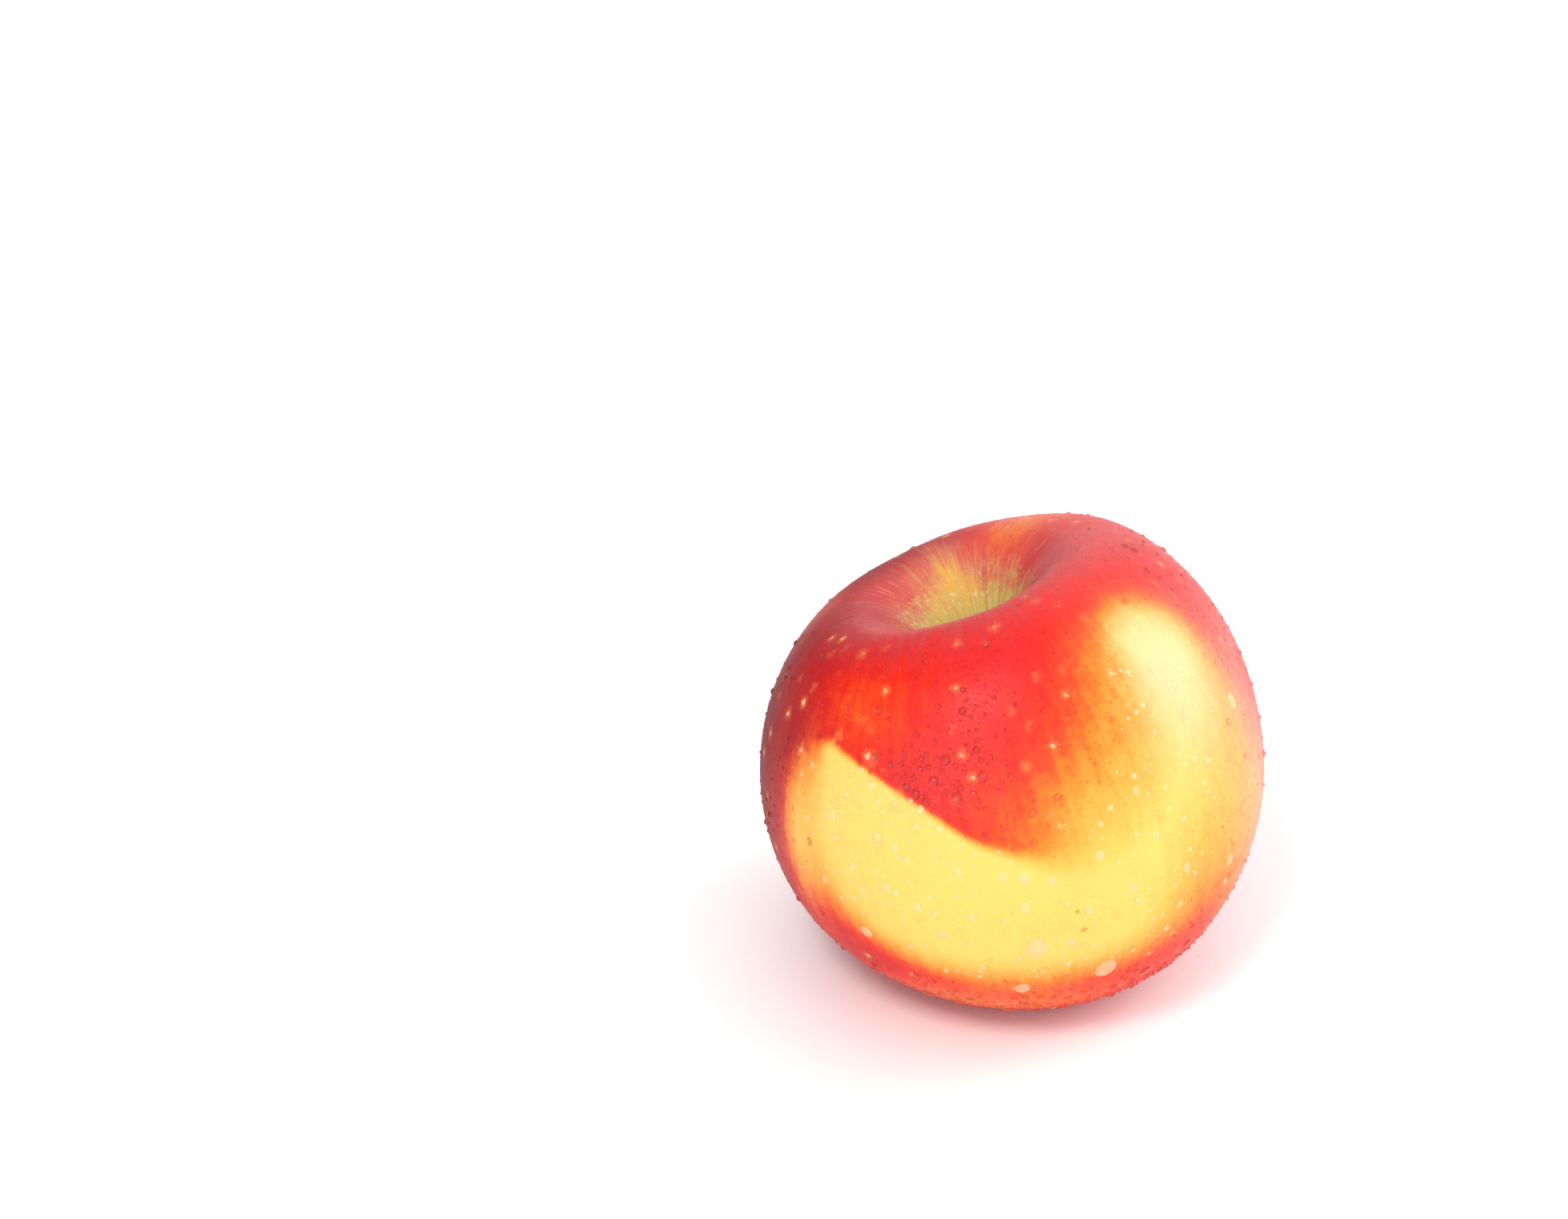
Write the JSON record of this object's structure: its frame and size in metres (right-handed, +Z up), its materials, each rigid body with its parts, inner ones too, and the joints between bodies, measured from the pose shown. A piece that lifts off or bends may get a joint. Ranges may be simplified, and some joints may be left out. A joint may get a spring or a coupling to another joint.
{
  "type": "apple",
  "caption": "Whole red and yellow dessert apple with a leaning crown, a short clipped stem deep in its cavity, and a dried calyx underneath, standing on its base lobes.",
  "frame": {"origin": "on the surface the apple stands on, under the middle of its bounding box", "axes": "+Z up, away from the resting spot; the crown and stem cavity lean towards -X; +Y is towards the back"},
  "size_m": [0.0754, 0.0746, 0.0695],
  "materials": {
    "skin": "waxy semi-gloss apple skin, red blush over yellow ground",
    "stem": "dry brown-green stalk",
    "sepals": "dry, curled, slightly woolly",
    "stamens": "withered dark threads",
    "water": "clear beads and drops of water on the skin"
  },
  "bodies": {
    "root": {"fruit": "skin", "stem": "stem", "stamen_tuft": "stamens", "sepal_1": "sepals", "sepal_2": "sepals", "sepal_3": "sepals", "sepal_4": "sepals", "sepal_5": "sepals"}
  },
  "joints": []
}
